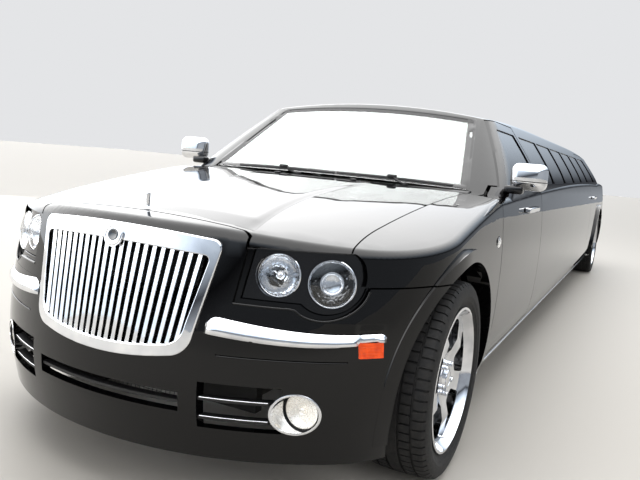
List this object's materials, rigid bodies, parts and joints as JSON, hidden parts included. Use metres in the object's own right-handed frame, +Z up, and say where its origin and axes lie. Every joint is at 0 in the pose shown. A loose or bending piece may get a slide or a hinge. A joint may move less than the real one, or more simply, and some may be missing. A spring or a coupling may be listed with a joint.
{
  "type": "stretch limousine",
  "caption": "Long black saloon car with doors at both ends of a windowed middle section, wheels that roll and steer, a hood, a boot lid and a furnished cabin.",
  "frame": {"origin": "on the ground under the centre of the bounding box", "axes": "-Y is forwards, out of the grille; +X is the car's left-hand side; +Z is up"},
  "size_m": [2.07, 8.5559, 1.4851],
  "materials": {
    "body_paint": "gloss black paint",
    "bright_metal": "polished chrome",
    "wheel_metal": "polished wheel",
    "tyre_rubber": "moulded black rubber",
    "clear_lens": "clear lamp lens",
    "screen_glass": "clear laminated glass",
    "tinted_glass": "dark tinted glass",
    "amber_lens": "amber lens",
    "red_lens": "red lens",
    "dark_plastic": "fine grained dark plastic",
    "reflector": "vacuum-metallised reflector",
    "chassis_steel": "satin black chassis coating",
    "floor_steel": "satin black underbody coating",
    "engine_metal": "cast metal",
    "exhaust_steel": "dull steel pipe",
    "seat_leather": "black leather",
    "dark_trim": "moulded interior trim",
    "cabinet_wood": "dark varnished wood"
  },
  "bodies": {
    "shell": {"front_fender_left": "body_paint", "front_fender_right": "body_paint", "grille_surround": "bright_metal", "grille_slats": "bright_metal", "front_bright_strips": "bright_metal", "marker_lamps": "amber_lens", "front_bumper": "body_paint", "headlamp_bezels": "dark_plastic", "lamp_reflectors": "reflector", "lamp_lenses": "clear_lens", "fog_bezels": "bright_metal", "lower_grilles": "dark_plastic", "grille_boss": "bright_metal", "tail_lamps": "red_lens", "rear_bumper": "body_paint", "body_side_left": "body_paint", "body_side_right": "body_paint", "rear_deck": "body_paint", "greenhouse": "body_paint", "windscreen": "screen_glass", "tinted_glass": "tinted_glass", "rear_suspension": "chassis_steel", "floor_pan": "floor_steel", "front_structure": "floor_steel", "engine_block": "engine_metal", "exhaust": "exhaust_steel", "hinge_posts": "chassis_steel", "cowl": "dark_plastic", "wipers": "dark_plastic", "dashboard": "dark_trim", "front_seats": "seat_leather", "partition": "dark_trim", "bar_cabinet": "cabinet_wood", "lounge_seats": "seat_leather"},
    "hood": {"hood": "body_paint", "hood_ornament": "bright_metal"},
    "boot_lid": {"boot_lid": "body_paint"},
    "steering_wheel": {"steering_wheel": "dark_trim"},
    "front_door_left": {"front_door_left": "body_paint", "front_door_glass_left": "tinted_glass", "front_door_trim_left": "bright_metal"},
    "rear_door_left": {"rear_door_left": "body_paint", "rear_door_glass_left": "tinted_glass", "rear_door_trim_left": "bright_metal"},
    "knuckle_left": {"front_knuckle_left": "chassis_steel"},
    "front_wheel_left": {"front_tyre_left": "tyre_rubber", "front_rim_left": "wheel_metal"},
    "rear_wheel_left": {"rear_tyre_left": "tyre_rubber", "rear_rim_left": "wheel_metal"},
    "front_door_right": {"front_door_right": "body_paint", "front_door_glass_right": "tinted_glass", "front_door_trim_right": "bright_metal"},
    "rear_door_right": {"rear_door_right": "body_paint", "rear_door_glass_right": "tinted_glass", "rear_door_trim_right": "bright_metal"},
    "knuckle_right": {"front_knuckle_right": "chassis_steel"},
    "front_wheel_right": {"front_tyre_right": "tyre_rubber", "front_rim_right": "wheel_metal"},
    "rear_wheel_right": {"rear_tyre_right": "tyre_rubber", "rear_rim_right": "wheel_metal"}
  },
  "joints": [
    {"name": "steer_left", "type": "hinge", "parent": "shell", "child": "knuckle_left", "pos_m": [0.735, -3.4205, 0.364], "axis": [0, 0, 1], "range_deg": [-32, 32]},
    {"name": "front_wheel_spin_left", "type": "hinge", "parent": "knuckle_left", "child": "front_wheel_left", "pos_m": [0.8, -3.4205, 0.364], "axis": [1, 0, 0], "continuous": true},
    {"name": "rear_wheel_spin_left", "type": "hinge", "parent": "shell", "child": "rear_wheel_left", "pos_m": [0.8, 3.1835, 0.364], "axis": [1, 0, 0], "continuous": true},
    {"name": "front_door_hinge_left", "type": "hinge", "parent": "shell", "child": "front_door_left", "pos_m": [0.914, -2.8035, 0.7], "axis": [0, 0, -1], "range_deg": [0, 62]},
    {"name": "rear_door_hinge_left", "type": "hinge", "parent": "shell", "child": "rear_door_left", "pos_m": [0.914, 1.9045, 0.7], "axis": [0, 0, -1], "range_deg": [0, 62]},
    {"name": "steer_right", "type": "hinge", "parent": "shell", "child": "knuckle_right", "pos_m": [-0.735, -3.4205, 0.364], "axis": [0, 0, 1], "range_deg": [-32, 32]},
    {"name": "front_wheel_spin_right", "type": "hinge", "parent": "knuckle_right", "child": "front_wheel_right", "pos_m": [-0.8, -3.4205, 0.364], "axis": [1, 0, 0], "continuous": true},
    {"name": "rear_wheel_spin_right", "type": "hinge", "parent": "shell", "child": "rear_wheel_right", "pos_m": [-0.8, 3.1835, 0.364], "axis": [1, 0, 0], "continuous": true},
    {"name": "front_door_hinge_right", "type": "hinge", "parent": "shell", "child": "front_door_right", "pos_m": [-0.914, -2.8035, 0.7], "axis": [0, 0, 1], "range_deg": [0, 62]},
    {"name": "rear_door_hinge_right", "type": "hinge", "parent": "shell", "child": "rear_door_right", "pos_m": [-0.914, 1.9045, 0.7], "axis": [0, 0, 1], "range_deg": [0, 62]},
    {"name": "hood_hinge", "type": "hinge", "parent": "shell", "child": "hood", "pos_m": [0, -2.8375, 1], "axis": [-1, 0, 0], "range_deg": [0, 50]},
    {"name": "boot_hinge", "type": "hinge", "parent": "shell", "child": "boot_lid", "pos_m": [0, 3.6105, 1.13], "axis": [1, 0, 0], "range_deg": [0, 75]},
    {"name": "steering_wheel_turn", "type": "hinge", "parent": "shell", "child": "steering_wheel", "pos_m": [-0.37, -2.2925, 0.905], "axis": [0, 0.9136, 0.4067], "range_deg": [-480, 480]}
  ],
  "couplings": [
    {"joint": "steer_right", "follows": "steer_left", "ratio": 1},
    {"joint": "steering_wheel_turn", "follows": "steer_left", "ratio": 14.5}
  ]
}
